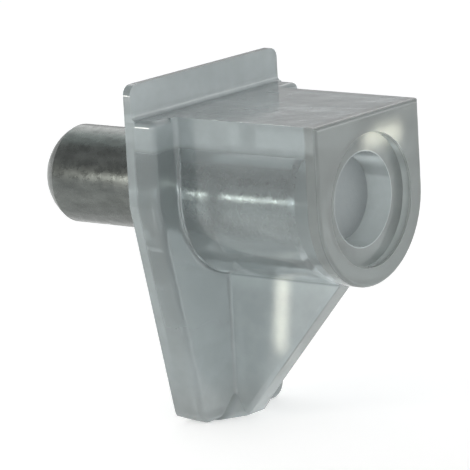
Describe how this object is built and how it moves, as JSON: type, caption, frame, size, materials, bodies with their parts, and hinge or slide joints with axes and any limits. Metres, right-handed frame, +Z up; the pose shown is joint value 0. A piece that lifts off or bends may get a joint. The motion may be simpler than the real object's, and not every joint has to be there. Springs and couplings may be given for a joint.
{
  "type": "shelf support pin",
  "caption": "Shelf support with a round steel pin for a cabinet side hole, held in a clear moulded bracket with a flat seat for the shelf, an end stop and a stiffening rib.",
  "frame": {"origin": "on the pin's axis, in the bracket face that lies on the cabinet side", "axes": "+X out of the cabinet side along the pin's axis, +Y along the shelf's end, +Z up"},
  "size_m": [0.0189, 0.0114, 0.0168],
  "materials": {
    "clear_plastic": "clear moulded plastic with a faint grey-blue tint, glossy",
    "plated_steel": "zinc-plated steel, satin, slightly mottled"
  },
  "bodies": {
    "root": {"clear_bracket": "clear_plastic", "steel_pin": "plated_steel"}
  },
  "joints": []
}
